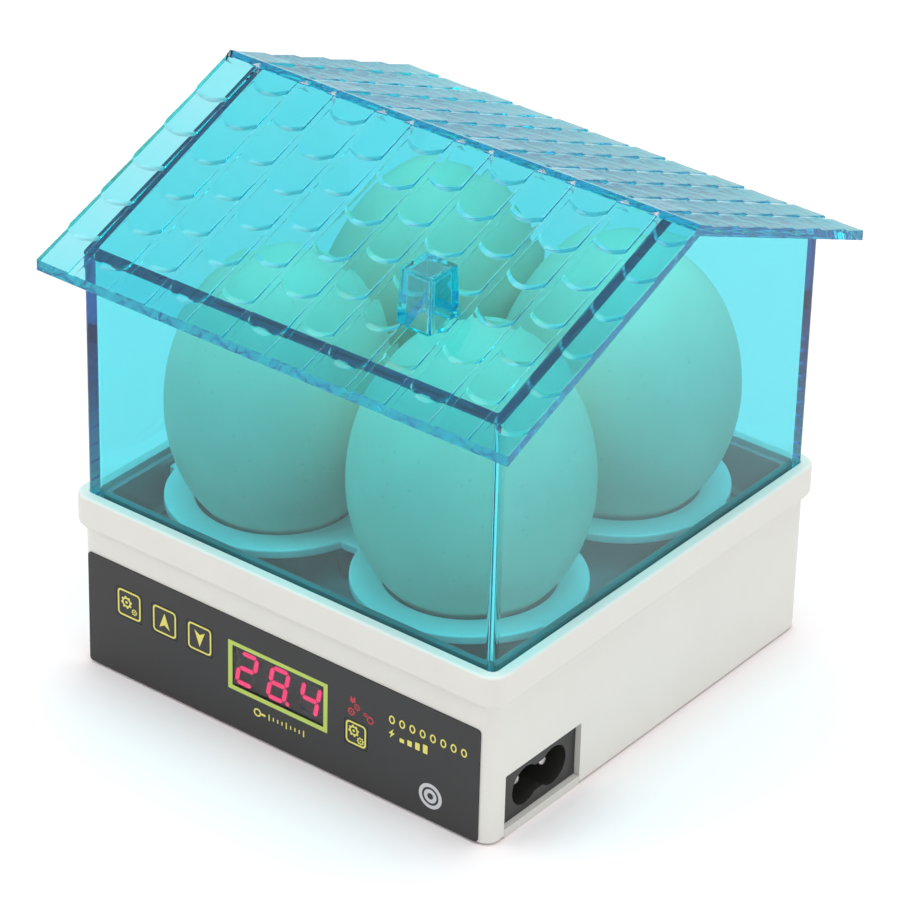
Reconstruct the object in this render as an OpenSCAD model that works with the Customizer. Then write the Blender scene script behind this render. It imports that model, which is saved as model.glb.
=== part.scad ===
// Small table-top egg incubator: a white square base with a front key panel,
// a dark warm floor, a tray of four egg rings and a lift-off house-shaped cover.
// X runs along the front, Y runs from front to back, Z is up, all in millimetres.

/* [Base] */
// Width and depth of the base body
base_w = 104; // [102:0.5:104]
// Corner radius of the base body
base_r = 3; // [2:0.5:4]
// Thickness of the base side walls
base_wall = 2; // [1.8:0.1:2.2]
// Width and depth of the rim round the top of the base
rim_w = 107; // [106.5:0.5:109]
// Height of the rim's top face above the table
rim_top = 39.4; // [39:0.1:40]
// Height of the rim band
rim_h = 7; // [6:0.5:8]

/* [Cover] */
// Outside width and depth of the clear walls
cover_w = 102; // [101:0.5:102]
// Thickness of the clear walls
cover_wall = 2.3; // [2:0.1:2.4]
// Width and depth of the roof at its eaves
roof_w = 114.4; // [110:0.2:120]
// Height of the eaves' top edge above the table
eave_z = 91.7; // [90:0.1:96]
// Height of the ridge above the table
ridge_z = 115.5; // [114:0.5:124]
// Upright thickness of the roof slab
roof_t = 2.4; // [2:0.1:3]
// Width of the chimney at its foot
chimney_w = 8.6; // [8:0.2:10]

/* [Eggs and tray] */
// Distance of each egg ring from the middle, along X and along Y
ring_c = 23.8; // [23.8:0.1:24]
// Outside radius of an egg ring
ring_r = 22.5; // [21:0.5:23]
// Radius of the hole that an egg stands in
seat_r = 16.35; // [15:0.05:17]
// Height of the top of the egg tray above the table
tray_top = 37.8; // [37:0.1:38]

/* [Panel] */
// Width of the front overlay
film_w = 99.3; // [99:0.1:100]
// Height of the front overlay
film_h = 25.7; // [25:0.1:26]
// Thickness of the front overlay
film_t = 0.3; // [0.2:0.05:0.4]
// Travel of a key
key_travel = 0.3; // [0.2:0.05:0.3]

/* [Hidden] */
$fn = 48;

body_half = base_w / 2;
front = -body_half;
wall_in = body_half - base_wall;
foot_gap = 0.4;
bottom_t = 2;
rim_z0 = rim_top - rim_h;

// Heights inside the base, from the electronics bay up to the cover's seat
deck_z = 25.6;
deck_t = 1.5;
mat_z = deck_z + deck_t;
mat_t = 0.8;
floor_z0 = mat_z + mat_t;
floor_z = floor_z0 + 1.5;
seat_z = 35;
liner_half = 48.4;
liner_wall = 1.2;
liner_gap = 0.6;
mat_w = 84;
deck_hole_w = 56;

// Clearance round the cover in its recess, and corner radius of its walls
fit_gap = 0.3;
cover_r = 1.2;

// Roof slope: rise per millimetre of depth
roof_half = roof_w / 2;
slope = (ridge_z - eave_z) / roof_half;

// The chimney stands on the front slope, right of the middle
chimney_at = [22.7, -37];
chimney_top_z = 110;
chimney_top_w = 7.8;
chimney_wall = 1.3;

// Keys: [middle x, middle z, width, height]
keys = [[-39.1, 17.95, 6.6, 6.7], [-29.75, 17.85, 6.6, 6.7],
        [-20.55, 17.7, 6.6, 6.7], [19.3, 12.45, 5.6, 5.7]];
key_slot = 0.15;
stem_r = 1.7;

// Display: middle and size of the clear window, then of the module behind it
window_mid = [-0.4, 15.1];
window_size = [22.8, 9];
module_size = [22.6, 10];
led_at = [[18.3, 18.6], [22.7, 17.3]];
led_r = 1.5;

// Control board, upright behind the front wall
cb_y = front + 5.5;
cb_t = 1.6;
cb_x = [-47, 28];
cb_z = [4.5, 24.5];
cb_posts = [[-44.3, 8], [-8, 7], [26, 22]];

// Power board, flat on four posts of the bottom cover
pb_x = [-38, 26];
pb_y = [-32, 16];
pb_z = 7;
pb_t = 1.6;
pb_posts = [[-34.5, -28.5], [22.5, -28.5], [-34.5, 12.5], [22.5, 12.5]];

// Cover screws, clear of the inlet at the right front corner, and their bosses
screw_at = [[-43.5, -37.5], [43.5, -16], [-43.5, 43.5], [43.5, 43.5]];
boss_r = 3.6;
boss_z = 4;
boss_hole_r = 1.4;
boss_hole_z = 14;
screw_seat_z = 2.3;
screw_head_r = 2.8;
screw_head_h = 1.6;
screw_tip_z = 12;

// Vent slots in the bottom cover
vent_pitch = 6;
vent_size = [2.4, 14];
vent_y = 32;

// Parts on the power board: lowest and highest corner, or middle, above the board
pb_top = pb_z + pb_t;
core_box = [[-24, -18, 0], [-2, 4, 6]];
winding_box = [[-21, -15, 6], [-5, 1, 14]];
capacitor_at = [8, 6];
capacitor_size = [5, 13];
triac_box = [[-32, -2, 2], [-27.4, 8, 11]];
triac_leg = [0.6, 0.8];
triac_pitch = 2.5;
fuse_x = 18.1;
fuse_r = 2.6;
fuse_y = [-10, 1];
clip_size = [6.2, 4, 6.2];
block_box = [[6, -31, 0], [18, -22, 9]];
block_screw_r = 1.9;

// Mains inlet in the right wall, a two-pin figure-of-eight type
inlet_mid = [-35.4, 8.2];
inlet_size = [24, 12.4];
inlet_face = body_half - 1.25;
recess_mid = [-35, 7.8];
pin_pitch = 8.6;
pin_r = 1.18;
recess_back = 38.6;
pin_tip = inlet_face - 2.2;
pin_tail = 31;
pin_y = [recess_mid[0] - pin_pitch / 2, recess_mid[0] + pin_pitch / 2];
inlet_body = [21, 11];
lobe_r = 4.2;
waist_h = 6;

// Sensor, at the floor between the two front rings
sensor_at = [0, -ring_c];
sensor_r = 1.4;
sensor_z = [22, 33];
grommet_r = 6.2;

// Egg tray: its thickness, its tabs and its feet
tray_t = 2;
tab_w = 12.4;
tab_out = 46.9;
foot_r = 1.6;
foot_out = 43.6;
foot_in = ring_c - 13.6;

// Eggs: [middle x, middle y, largest radius]
eggs = [[ring_c - 0.3, -ring_c + 0.1, 23.3], [-ring_c + 0.3, -ring_c + 0.1, 22.7],
        [ring_c - 0.1, ring_c + 0.2, 23.3], [-ring_c + 0.3, ring_c - 0.1, 22.9]];
egg_seat_r = 15.75;
egg_low = 29;
egg_high = 31;

// ---- helpers ----

// A flat rectangle with round corners, centred
module round_rect(w, d, r) {
    square([w - 2 * r, d], center = true);
    square([w, d - 2 * r], center = true);
    for (sx = [-1, 1], sy = [-1, 1])
        translate([sx * (w / 2 - r), sy * (d / 2 - r)]) circle(r);
}

// A block with round upright edges between two heights
module slab(w, d, r, z0, z1) {
    translate([0, 0, z0]) linear_extrude(z1 - z0) round_rect(w, d, r);
}

// A box given by its lowest and highest corners
module span(a, b) {
    translate(a) cube(b - a);
}

// A shape drawn in X and Z, made solid from y0 back to y1
module facing_front(y0, y1) {
    translate([0, y1, 0]) rotate([90, 0, 0]) linear_extrude(y1 - y0) children();
}

// A shape drawn in Y and Z, made solid from x0 to x1
module facing_right(x0, x1) {
    translate([x0, 0, 0]) rotate([90, 0, 90]) linear_extrude(x1 - x0) children();
}

// A rod along X, Y or Z
module rod_x(x0, x1, r) { translate([x0, 0, 0]) rotate([0, 90, 0]) cylinder(h = x1 - x0, r = r); }
module rod_y(y0, y1, r) { translate([0, y1, 0]) rotate([90, 0, 0]) cylinder(h = y1 - y0, r = r); }
module rod_z(z0, z1, r) { translate([0, 0, z0]) cylinder(h = z1 - z0, r = r); }

// A round wire swept along a list of points
function unit(v) = v / norm(v);
function run(p, i) = unit(p[min(i + 1, len(p) - 1)] - p[max(i - 1, 0)]);
function side(t) = unit(cross(t, [0.31, 0.52, 0.79]));
module wire(p, r, n = 8) {
    rings = [for (i = [0 : len(p) - 1])
        let (t = run(p, i), u = side(t), v = cross(t, u))
        for (k = [0 : n - 1]) p[i] + r * (cos(k * 360 / n) * u + sin(k * 360 / n) * v)];
    m = len(p);
    skin = [for (i = [0 : m - 2], k = [0 : n - 1])
        let (a = i * n + k, b = i * n + (k + 1) % n)
        for (f = [[a, a + n, b + n], [a, b + n, b]]) f];
    start = [for (k = [0 : n - 1]) k];
    stop = [for (k = [n - 1 : -1 : 0]) (m - 1) * n + k];
    polyhedron(rings, concat([start], skin, [stop]), convexity = 8);
}

// ---- base ----

module key_openings(extra) {
    for (k = keys)
        translate([k[0], k[1]]) square([k[2] + 2 * extra, k[3] + 2 * extra], center = true);
}

module base_outer() {
    slab(base_w, base_w, base_r, foot_gap, rim_z0);
    slab(base_w + 1.4, base_w + 1.4, base_r + 0.4, rim_z0 - 0.8, rim_z0);
    slab(rim_w, rim_w, base_r + 1, rim_z0, rim_top);
}

module base_housing() {
    color("whitesmoke") {
        difference() {
            base_outer();
            slab(2 * wall_in, 2 * wall_in, 1.5, 0, deck_z);
            slab(2 * (liner_half + liner_gap), 2 * (liner_half + liner_gap), 1, mat_z, seat_z);
            slab(cover_w + 2 * fit_gap, cover_w + 2 * fit_gap, 1.5, seat_z, rim_top + 1);
            translate([0, 0, deck_z - 1]) linear_extrude(deck_t + 2) square(deck_hole_w, center = true);
            facing_front(front - 1, -wall_in + 1) key_openings(key_slot);
            facing_front(front - 1, -wall_in + 1)
                translate(window_mid) square(module_size + [0.4, 0.4], center = true);
            for (p = led_at) translate([p[0], 0, p[1]]) rod_y(front - 1, -wall_in + 1, led_r + 0.2);
            facing_right(wall_in - 1, body_half + 1)
                translate([inlet_mid[0], 0])
                    square([inlet_size[0], 2 * inlet_mid[1] + inlet_size[1]], center = true);
        }
        for (p = screw_at) translate([p[0], p[1], 0]) difference() {
            rod_z(boss_z, deck_z, boss_r);
            rod_z(boss_z - 1, boss_hole_z, boss_hole_r);
        }
        for (p = cb_posts) translate([p[0], 0, p[1]]) difference() {
            rod_y(-wall_in, cb_y, 2.2);
            rod_y(-wall_in + 0.5, cb_y + 1, 1.05);
        }
    }
}

module bottom_cover() {
    color("gainsboro") difference() {
        union() {
            slab(2 * wall_in - 0.4, 2 * wall_in - 0.4, 1.3, 0, bottom_t);
            span([wall_in - 1, inlet_mid[0] - 11.9, 0], [body_half, inlet_mid[0] + 11.9, bottom_t]);
            for (p = screw_at) translate([p[0], p[1], 0]) rod_z(bottom_t - 0.5, boss_z, boss_r + 0.6);
            for (p = pb_posts) translate([p[0], p[1], 0]) rod_z(bottom_t - 0.5, pb_z, 2.6);
        }
        for (p = screw_at) translate([p[0], p[1], 0]) {
            rod_z(-1, screw_seat_z, screw_head_r + fit_gap);
            rod_z(screw_seat_z - 0.3, boss_z + 1, boss_hole_r + fit_gap);
        }
        for (p = pb_posts) translate([p[0], p[1], 0]) rod_z(bottom_t, pb_z + 1, 1.1);
        for (i = [-3 : 3]) translate([i * vent_pitch, vent_y, -1])
            linear_extrude(bottom_t + 2) square(vent_size, center = true);
    }
}

module cover_screws() {
    color("silver") for (p = screw_at) translate([p[0], p[1], 0]) difference() {
        union() {
            rod_z(screw_seat_z - screw_head_h, screw_seat_z, screw_head_r);
            rod_z(screw_seat_z, screw_tip_z, boss_hole_r - 0.05);
        }
        span([-2, -0.4, 0], [2, 0.4, 1.3]);
        span([-0.4, -2, 0], [0.4, 2, 1.3]);
    }
}

// ---- front panel ----

module front_overlay() {
    color("dimgray") facing_front(front - film_t, front) difference() {
        translate([-0.35, foot_gap + 0.1 + film_h / 2]) round_rect(film_w, film_h, 0.8);
        key_openings(key_slot - 0.05);
        translate(window_mid) square(window_size, center = true);
    }
}

module display_window() {
    color([0.25, 0.05, 0.08, 0.6]) facing_front(front - film_t, front)
        translate(window_mid) square(window_size, center = true);
}

module key_pad(i) {
    k = keys[i];
    color("goldenrod") facing_front(front - film_t, front)
        translate([k[0], k[1]]) square([k[2], k[3]], center = true);
}

module key_stem(i) {
    k = keys[i];
    color("black") translate([k[0], 0, k[1]]) rod_y(front, cb_y - 2.9, stem_r);
}

module key_set() { key_pad(0); }
module key_up() { key_pad(1); }
module key_down() { key_pad(2); }
module key_mode() { key_pad(3); }
module stem_set() { key_stem(0); }
module stem_up() { key_stem(1); }
module stem_down() { key_stem(2); }
module stem_mode() { key_stem(3); }

module tact_switches() {
    color("darkslategray") for (k = keys) difference() {
        span([k[0] - 3, cb_y - 3.4, k[1] - 3], [k[0] + 3, cb_y, k[1] + 3]);
        translate([k[0], 0, k[1]]) rod_y(cb_y - 4, cb_y - 2.9 + key_travel + 0.1, stem_r + 0.15);
    }
}

module led_display() {
    color("black") facing_front(front + 0.1, cb_y) translate(window_mid) square(module_size, center = true);
}

module indicator_leds() {
    color("red") for (p = led_at) translate([p[0], 0, p[1]]) {
        rod_y(front + 1.6, cb_y, led_r);
        intersection() {
            translate([0, front + 1.6, 0]) sphere(led_r);
            rod_y(front, front + 1.6, led_r + 1);
        }
    }
}

module control_board() {
    color("darkgreen") difference() {
        span([cb_x[0], cb_y, cb_z[0]], [cb_x[1], cb_y + cb_t, cb_z[1]]);
        for (p = cb_posts) translate([p[0], 0, p[1]]) rod_y(cb_y - 1, cb_y + cb_t + 1, 1.2);
    }
}

module control_board_screws() {
    color("silver") for (p = cb_posts) translate([p[0], 0, p[1]]) {
        rod_y(cb_y - 3, cb_y + cb_t, 1);
        rod_y(cb_y + cb_t, cb_y + cb_t + 1.4, 2);
    }
}

// ---- power supply ----

module power_board() {
    color("tan") difference() {
        span([pb_x[0], pb_y[0], pb_z], [pb_x[1], pb_y[1], pb_z + pb_t]);
        for (p = pb_posts) translate([p[0], p[1], 0]) rod_z(pb_z - 1, pb_z + pb_t + 1, 1.25);
    }
}

module power_board_screws() {
    color("silver") for (p = pb_posts) translate([p[0], p[1], 0]) {
        rod_z(pb_z - 4, pb_z + pb_t, 1.05);
        rod_z(pb_z + pb_t, pb_z + pb_t + 1.5, 2.1);
    }
}

// A box that stands on the power board
module on_board(box) {
    translate([0, 0, pb_top]) span(box[0], box[1]);
}

module transformer() {
    color("gold") on_board(core_box);
    color("dimgray") on_board(winding_box);
}

module filter_capacitor() {
    color("midnightblue") translate([capacitor_at[0], capacitor_at[1], pb_top])
        rod_z(0, capacitor_size[1], capacitor_size[0]);
}

module triac() {
    leg_x = (triac_box[0][0] + triac_box[1][0]) / 2;
    leg_y = (triac_box[0][1] + triac_box[1][1]) / 2;
    color("black") on_board(triac_box);
    color("silver") for (i = [-1 : 1]) translate([leg_x, leg_y + i * triac_pitch, pb_top])
        linear_extrude(triac_box[0][2]) square(triac_leg, center = true);
}

module fuse() {
    color("silver") for (y = [fuse_y[0] - clip_size[1], fuse_y[1]])
        translate([fuse_x - clip_size[0] / 2, y, pb_top]) cube(clip_size);
    color("lightyellow") translate([fuse_x, 0, pb_top + clip_size[2] / 2])
        rod_y(fuse_y[0], fuse_y[1], fuse_r);
}

module terminal_block() {
    color("seagreen") difference() {
        on_board(block_box);
        for (x = [9, 15]) translate([x, -26.5, 0]) rod_z(pb_top + 4, pb_top + 10, block_screw_r);
    }
}

// ---- mains inlet ----

module recess_2d() {
    for (s = [-1, 1]) translate([s * pin_pitch / 2, 0]) circle(lobe_r);
    square([pin_pitch, waist_h], center = true);
}

module inlet_socket() {
    color("dimgray") difference() {
        union() {
            facing_right(wall_in - 1.2, inlet_face)
                translate(inlet_mid) square([inlet_size[0] - 0.2, inlet_size[1] - 0.2], center = true);
            facing_right(35, wall_in - 1) translate(inlet_mid) square(inlet_body, center = true);
        }
        facing_right(recess_back, inlet_face + 1) translate(recess_mid) recess_2d();
        for (y = pin_y) translate([0, y, recess_mid[1]]) rod_x(34, 40, pin_r + 0.02);
    }
}

module inlet_pins() {
    color("silver") for (y = pin_y) translate([0, y, recess_mid[1]]) rod_x(pin_tail, pin_tip, pin_r);
}

// ---- wires inside the base ----

module mains_wires() {
    color("saddlebrown") wire([[pin_tail, pin_y[0], recess_mid[1]], [28.5, pin_y[0], recess_mid[1]],
                               [22, -38.5, 12], [15, -38, 14], [10.5, -36.5, 13.4], [9, -34, 12.8],
                               [9, block_box[0][1], 12.8]], 1.1);
    color("royalblue") wire([[pin_tail, pin_y[1], recess_mid[1]], [29.5, pin_y[1], recess_mid[1]],
                             [26.5, -31, 13], [23.5, -28.5, 15], [21, -26.5, 14.8],
                             [block_box[1][0], -26.5, 14.8]], 1.1);
}

module heater_mat() {
    color("orangered") difference() {
        slab(mat_w, mat_w, 3, mat_z, mat_z + mat_t);
        translate([sensor_at[0], sensor_at[1], 0]) rod_z(mat_z - 1, mat_z + 2, 3.4);
    }
}

module heater_wires() {
    color("firebrick") for (s = [-1, 1])
        wire([[12 + s * 3, -26.5, pb_top + 4], [12 + s * 3, -26.5, 19], [11 + s * 2.6, -23, 22],
              [11 + s * 2.2, -17, 23.6], [11 + s * 2.2, -11.5, 24.2], [11 + s * 2.2, -10, 25.6],
              [11 + s * 2.2, -10, mat_z]], 0.9);
}

module thermal_cutout() {
    color("ivory") translate([-12, 22, mat_z - 2]) rod_y(-6, 6, 2);
}

module temp_sensor() {
    color("silver") translate([sensor_at[0], sensor_at[1], 0]) {
        rod_z(sensor_z[0], sensor_z[1], sensor_r);
        translate([0, 0, sensor_z[1]]) intersection() {
            sphere(sensor_r);
            rod_z(0, 2, 2);
        }
    }
}

module sensor_grommet() {
    color("black") translate([sensor_at[0], sensor_at[1], 0]) difference() {
        union() {
            rod_z(floor_z, floor_z + 1.2, grommet_r);
            rod_z(mat_z, floor_z, 2.9);
        }
        rod_z(mat_z - 1, floor_z + 3, sensor_r + 0.05);
    }
}

module sensor_wire() {
    color("gray") wire([[0, -ring_c, sensor_z[0]], [0, -ring_c, 20], [0, -29, 18], [-0.5, -35, 17],
                        [-1, -40, 16.6], [-1, cb_y + cb_t, 16.6]], 0.7);
}

module board_cable() {
    color("silver") for (i = [0 : 3])
        translate([i * 1.6 - 20, 0, pb_top])
            wire([[0, -31, 0], [0, -31, 3], [0, -34, 5], [0, -40, 5], [0, cb_y + cb_t, 5]], 0.55);
}

// ---- chamber ----

module chamber_liner() {
    color("dimgray") difference() {
        slab(2 * liner_half, 2 * liner_half, 1, floor_z0, rim_top - 0.2);
        slab(2 * (liner_half - liner_wall), 2 * (liner_half - liner_wall), 0.5, floor_z, rim_top + 1);
        translate([sensor_at[0], sensor_at[1], 0]) rod_z(floor_z0 - 1, floor_z + 1, 3);
        difference() {
            slab(90, 90, 2, floor_z - 0.5, floor_z + 1);
            slab(86, 86, 2, floor_z - 1, floor_z + 2);
        }
    }
}

module tray_2d() {
    for (sx = [-1, 1], sy = [-1, 1]) translate([sx * ring_c, sy * ring_c]) circle(ring_r, $fn = 96);
    for (s = [-1, 1]) {
        translate([s * ring_c, 0]) square([tab_w, 2 * tab_out], center = true);
        translate([0, s * ring_c]) square([2 * tab_out, tab_w], center = true);
    }
}

module egg_tray() {
    color("white") difference() {
        union() {
            translate([0, 0, tray_top - tray_t]) linear_extrude(tray_t) tray_2d();
            for (a = [0 : 90 : 270], s = [-1, 1]) rotate([0, 0, a])
                translate([s * ring_c, -foot_out, 0]) rod_z(floor_z, tray_top - tray_t, foot_r);
            for (sx = [-1, 1], sy = [-1, 1]) translate([sx * foot_in, sy * foot_in, 0])
                rod_z(floor_z, tray_top - tray_t, foot_r);
        }
        for (sx = [-1, 1], sy = [-1, 1]) translate([sx * ring_c, sy * ring_c, 0])
            rod_z(tray_top - tray_t - 1, tray_top + 1, seat_r);
    }
}

// An egg of largest radius r: two half ellipses of different height, turned.
// It stands so low that it meets the tray at the seat radius.
module egg(e) {
    r = e[2];
    z0 = tray_top - egg_low * (1 - sqrt(1 - pow(egg_seat_r / r, 2)));
    zm = z0 + egg_low;
    half = [for (a = [-90 : 7.5 : 90]) [max(r * cos(a), 0), (a < 0 ? egg_low : egg_high) * sin(a)]];
    color("linen") translate([e[0], e[1], zm]) rotate_extrude($fn = 96) polygon(half);
}

module egg_1() { egg(eggs[0]); }
module egg_2() { egg(eggs[1]); }
module egg_3() { egg(eggs[2]); }
module egg_4() { egg(eggs[3]); }

// ---- cover ----

// The house outline under the roof, drawn in Y and Z
module house_2d() {
    half = cover_w / 2;
    wall_top = ridge_z - roof_t - slope * half;
    polygon([[-half, seat_z], [half, seat_z], [half, wall_top], [0, ridge_z - roof_t], [-half, wall_top]]);
}

module cover_walls() {
    half = cover_w / 2;
    color([0.3, 0.85, 0.9, 0.5]) difference() {
        intersection() {
            facing_right(-half, half) house_2d();
            slab(cover_w, cover_w, cover_r, seat_z, ridge_z);
        }
        slab(cover_w - 2 * cover_wall, cover_w - 2 * cover_wall, 0.4, seat_z - 1, ridge_z + 1);
    }
}

module roof_2d() {
    polygon([[-roof_half, eave_z], [0, ridge_z], [roof_half, eave_z], [roof_half, eave_z - roof_t],
             [0, ridge_z - roof_t], [-roof_half, eave_z - roof_t]]);
}

module chimney(foot, top, z1) {
    z0 = ridge_z + slope * chimney_at[1] - 8;
    translate([chimney_at[0], chimney_at[1], z0])
        linear_extrude(z1 - z0, scale = top / foot) square(foot, center = true);
}

module cover_roof() {
    wall_2 = 2 * chimney_wall;
    color([0.2, 0.75, 0.85, 0.5]) difference() {
        union() {
            facing_right(-roof_half, roof_half) roof_2d();
            intersection() {
                chimney(chimney_w, chimney_top_w, chimney_top_z);
                facing_right(-roof_half, roof_half)
                    polygon([[-roof_half, eave_z - roof_t], [0, ridge_z - roof_t], [0, ridge_z],
                             [-roof_half, ridge_z]]);
            }
        }
        chimney(chimney_w - wall_2, chimney_top_w - wall_2, chimney_top_z - chimney_wall);
    }
}

base_housing();
bottom_cover();
cover_screws();
front_overlay();
display_window();
key_set();
key_up();
key_down();
key_mode();
stem_set();
stem_up();
stem_down();
stem_mode();
tact_switches();
led_display();
indicator_leds();
control_board();
control_board_screws();
power_board();
power_board_screws();
transformer();
filter_capacitor();
triac();
fuse();
terminal_block();
inlet_socket();
inlet_pins();
mains_wires();
heater_mat();
heater_wires();
thermal_cutout();
temp_sensor();
sensor_wire();
board_cable();
sensor_grommet();
chamber_liner();
egg_tray();
egg_1();
egg_2();
egg_3();
egg_4();
cover_walls();
cover_roof();
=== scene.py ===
# %% [markdown]
# # A house-shaped egg incubator
# This lesson dresses a finished CAD model of a small incubator: a white heated base with a
# key panel, a tray that holds four eggs, and a clear blue lift-off cover shaped like a house.
# The solids come in as a fixed frame, one object per part, in metres with +Z up. Hidden
# parts keep their solids and get real finishes. The parts that show are modelled again here
# with rounder edges, roof tiles, printed signs and a lit display.

# %% Load the frame
import math

import bmesh
import bpy
from mathutils import Matrix, Vector


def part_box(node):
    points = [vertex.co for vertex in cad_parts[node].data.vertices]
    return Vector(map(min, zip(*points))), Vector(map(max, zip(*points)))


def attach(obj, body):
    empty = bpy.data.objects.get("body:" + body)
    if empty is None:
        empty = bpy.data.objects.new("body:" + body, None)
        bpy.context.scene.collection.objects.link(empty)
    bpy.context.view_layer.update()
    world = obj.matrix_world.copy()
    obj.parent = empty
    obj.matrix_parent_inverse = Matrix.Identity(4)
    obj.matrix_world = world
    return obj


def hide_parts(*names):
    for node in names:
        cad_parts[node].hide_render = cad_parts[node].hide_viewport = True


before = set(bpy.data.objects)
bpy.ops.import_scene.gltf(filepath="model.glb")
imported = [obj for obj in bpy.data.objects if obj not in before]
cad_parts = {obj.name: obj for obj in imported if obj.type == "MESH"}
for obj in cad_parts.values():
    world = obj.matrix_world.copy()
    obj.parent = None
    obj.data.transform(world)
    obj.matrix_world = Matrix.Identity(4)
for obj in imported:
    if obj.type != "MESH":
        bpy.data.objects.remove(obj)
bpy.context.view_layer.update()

MM = 0.001

# %% [markdown]
# ## Measuring the frame
# Every place in this lesson comes from the frame. We work in millimetres, because an
# incubator's walls are 2 mm thick and its prints 0.03 mm, and only turn to metres at the end.

# %% The frame in millimetres
def node_box(node):
    """A CAD node's lowest and highest corners in millimetres."""
    low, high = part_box(node)
    return Vector(low) / MM, Vector(high) / MM


def middle(node):
    """The middle of a CAD node's box in millimetres."""
    low, high = node_box(node)
    return (low + high) / 2


roof_low, roof_high = node_box("cover_roof")
walls_low, walls_high = node_box("cover_walls")
base_low, base_high = node_box("base_housing")
film_low, film_high = node_box("front_overlay")
print("roof is", round(roof_high.x - roof_low.x, 1), "mm wide, ridge at", round(roof_high.z, 1))

# %% [markdown]
# ## Colours and nodes
# Hex colours are written as a person reads them off a swatch, so one function turns them to
# the linear light that shaders expect. Another adds any shader node with its settings.

# %% Colour and node helpers
def linear(hex_colour):
    """An sRGB hex colour as a linear RGBA tuple."""
    channels = [int(hex_colour[i:i + 2], 16) / 255 for i in (1, 3, 5)]
    light = [c / 12.92 if c <= 0.04045 else ((c + 0.055) / 1.055) ** 2.4 for c in channels]
    return (*light, 1.0)


def add(tree, kind, inputs=None, **settings):
    """Add a node: settings are its own properties, inputs are values or sockets to link."""
    made = tree.nodes.new(kind)
    for name, value in settings.items():
        setattr(made, name, value)
    for name, value in (inputs or {}).items():
        if isinstance(value, bpy.types.NodeSocket):
            tree.links.new(value, made.inputs[name])
        else:
            made.inputs[name].default_value = value
    return made


def new_material(name):
    """An empty material, its node tree, and the object coordinates that patterns follow."""
    material = bpy.data.materials.new(name)
    material.use_nodes = True
    tree = material.node_tree
    tree.nodes.clear()
    return material, tree, add(tree, "ShaderNodeTexCoord").outputs["Object"]


def finish_material(tree, surface, volume=None):
    """Join a surface, and a volume if there is one, to the material's output."""
    inputs = {"Surface": surface}
    if volume is not None:
        inputs["Volume"] = volume
    add(tree, "ShaderNodeOutputMaterial", inputs)


# %% [markdown]
# ## Shaping helpers
# Moulded parts are mostly blocks and rods with rounded edges, joined and cut. Each helper
# below starts from a bmesh create operator. Boolean joins and cuts run as a modifier whose
# result is read back, so that every piece ends as one closed skin.

# %% Rounded blocks and rods
def soften(bm, edges, width, segments=3):
    """Round the given edges by a width in millimetres."""
    bmesh.ops.bevel(bm, geom=edges, offset=width, offset_type="OFFSET", affect="EDGES",
                    segments=segments, profile=0.5, material=-1, clamp_overlap=True)


def outward_edges(bm, least=60, where=None):
    """The convex edges that turn more than an angle, where a test on their middle allows."""
    picked = []
    for edge in bm.edges:
        if len(edge.link_faces) == 2 and edge.calc_face_angle_signed(0) > math.radians(least):
            if where is None or where((edge.verts[0].co + edge.verts[1].co) / 2):
                picked.append(edge)
    return picked


def runs_along(edge, axis):
    """True if an edge runs along X, Y or Z, which are 0, 1 and 2."""
    return abs((edge.verts[1].co - edge.verts[0].co).normalized()[axis]) > 0.99


def block(low, high, corner=0.0, edge=0.0, axis=2, segments=6):
    """A box: corner rounds its edges along the axis, and edge rounds all the others."""
    bm = bmesh.new()
    low, high = Vector(low), Vector(high)
    bmesh.ops.create_cube(bm, size=1)
    bmesh.ops.scale(bm, vec=high - low, verts=bm.verts[:])
    bmesh.ops.translate(bm, vec=(high + low) / 2, verts=bm.verts[:])
    if corner:
        soften(bm, [e for e in bm.edges if runs_along(e, axis)], corner, segments)
    if edge:
        soften(bm, outward_edges(bm), edge, 3)
    return bm


def rod(start, end, radius, edge=0.0, segments=40, tip=None):
    """A round rod between two points; edge rounds its ends, and tip is its radius at the end."""
    bm = bmesh.new()
    start, end = Vector(start), Vector(end)
    bmesh.ops.create_cone(bm, cap_ends=True, segments=segments, radius1=radius,
                          radius2=radius if tip is None else tip, depth=(end - start).length)
    turn = (end - start).to_track_quat("Z", "Y").to_matrix().to_4x4()
    bmesh.ops.transform(bm, matrix=Matrix.Translation((start + end) / 2) @ turn, verts=bm.verts[:])
    if edge:
        soften(bm, outward_edges(bm), edge, 3)
    return bm


def upright(x, y, z0, z1, radius, edge=0.0):
    """A rod that stands along Z."""
    return rod((x, y, z0), (x, y, z1), radius, edge)


# %% Joining, cutting and collecting
def include(bm, other):
    """Add another bmesh's shells to this one."""
    passing = bpy.data.meshes.new("passing")
    other.to_mesh(passing)
    other.free()
    bm.from_mesh(passing)
    bpy.data.meshes.remove(passing)


def combine(bm, tool, operation):
    """One bmesh joined to or cut by another, as one closed skin."""
    sides = []
    for part in (bm, tool):
        mesh = bpy.data.meshes.new("boolean side")
        part.to_mesh(mesh)
        part.free()
        side = bpy.data.objects.new("boolean side", mesh)
        bpy.context.scene.collection.objects.link(side)
        sides.append(side)
    work = sides[0].modifiers.new("work", "BOOLEAN")
    work.object = sides[1]
    work.operation = operation
    work.solver = "EXACT"
    result = bmesh.new()
    result.from_mesh(sides[0].evaluated_get(bpy.context.evaluated_depsgraph_get()).to_mesh())
    for side in sides:
        mesh = side.data
        bpy.data.objects.remove(side)
        bpy.data.meshes.remove(mesh)
    return result


def join(bm, tool):
    """The union of two bmeshes."""
    return combine(bm, tool, "UNION")


def cut(bm, tool):
    """The first bmesh with the second cut away."""
    return combine(bm, tool, "DIFFERENCE")


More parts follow.
